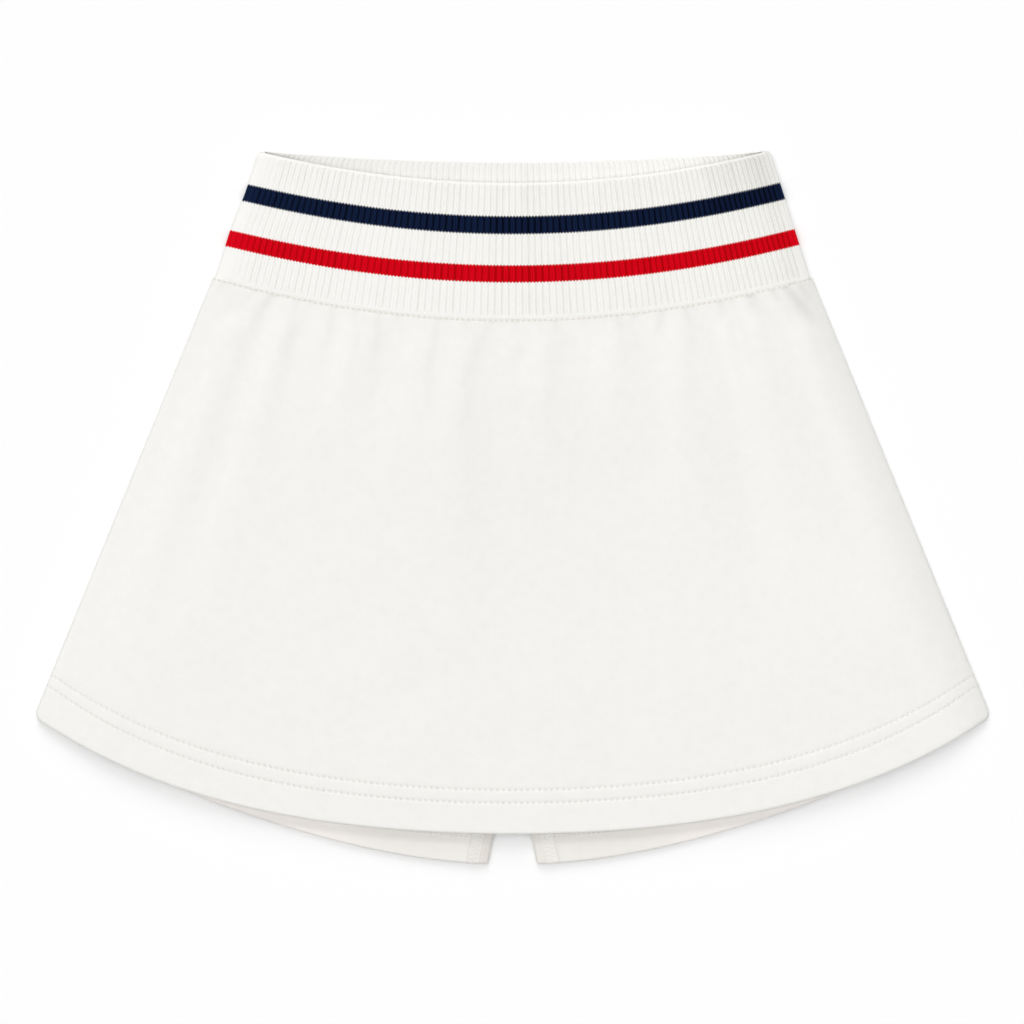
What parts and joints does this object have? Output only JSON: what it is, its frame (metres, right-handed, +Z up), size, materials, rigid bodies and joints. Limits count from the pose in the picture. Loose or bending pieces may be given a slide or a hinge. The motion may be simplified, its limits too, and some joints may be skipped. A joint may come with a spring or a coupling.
{
  "type": "tennis skirt",
  "caption": "Tennis skirt laid flat, front up: a gathered, flared knit skirt on a wide ribbed waistband with colour stripes, over built-in shorts.",
  "frame": {"origin": "on the surface that the garment lies on, under the middle of its outline", "axes": "+X across the garment towards the wearer's left, +Y from hem to waist, +Z up through the front"},
  "size_m": [0.5592, 0.4177, 0.008],
  "materials": {
    "rib_knit": "matt rib knit, white with knitted-in navy and red stripes",
    "skirt_knit": "matt fine knit, white",
    "shorts_knit": "matt stretch knit, white"
  },
  "bodies": {
    "root": {"waistband": "rib_knit", "skirt_front": "skirt_knit", "skirt_back": "skirt_knit", "shorts_leg_left": "shorts_knit", "shorts_leg_right": "shorts_knit"}
  },
  "joints": []
}
